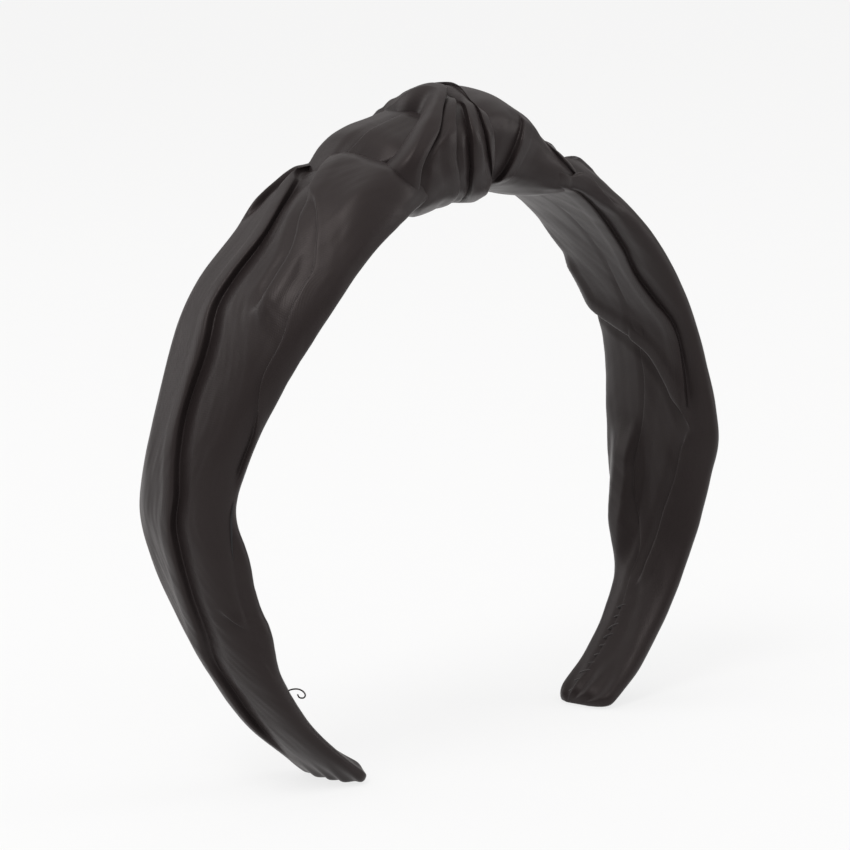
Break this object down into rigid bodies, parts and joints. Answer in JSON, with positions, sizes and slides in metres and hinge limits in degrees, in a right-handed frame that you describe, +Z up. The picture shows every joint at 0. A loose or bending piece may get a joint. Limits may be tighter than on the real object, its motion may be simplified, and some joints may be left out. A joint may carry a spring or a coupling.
{
  "type": "knotted headband",
  "caption": "Springy hoop headband covered in pleated satin that is tied in a knot over the crown and whip-stitched at the tips.",
  "frame": {"origin": "on the surface that the two tips stand on, midway between the arms and between the front and back edges", "axes": "+X across the head towards the right arm, +Y from the forehead to the back of the head, +Z up through the knot"},
  "size_m": [0.1529, 0.042, 0.1517],
  "materials": {
    "satin": "warm black satin with a fine weave and a soft sheen",
    "hoop_plastic": "moulded, semi-matt",
    "thread": "spun sewing thread"
  },
  "bodies": {
    "crown": {"crown_core": "hoop_plastic", "crown_wrap": "satin", "knot_wrap": "satin", "crossing_strand": "satin", "right_strand": "satin"},
    "left_arm": {"left_arm_core": "hoop_plastic", "left_wrap": "satin", "left_tip_stitching": "thread", "left_thread_tail": "thread"},
    "right_arm": {"right_arm_core": "hoop_plastic", "right_wrap": "satin", "right_tip_stitching": "thread"}
  },
  "joints": [
    {"name": "left_arm_flex", "type": "hinge", "parent": "crown", "child": "left_arm", "pos_m": [-0.0421, 0, 0.1178], "axis": [0, 1, 0], "range_deg": [-4, 12], "stiffness_Nm_per_rad": 1.3},
    {"name": "right_arm_flex", "type": "hinge", "parent": "crown", "child": "right_arm", "pos_m": [0.0421, 0, 0.1178], "axis": [0, -1, 0], "range_deg": [-4, 12], "stiffness_Nm_per_rad": 1.3}
  ]
}
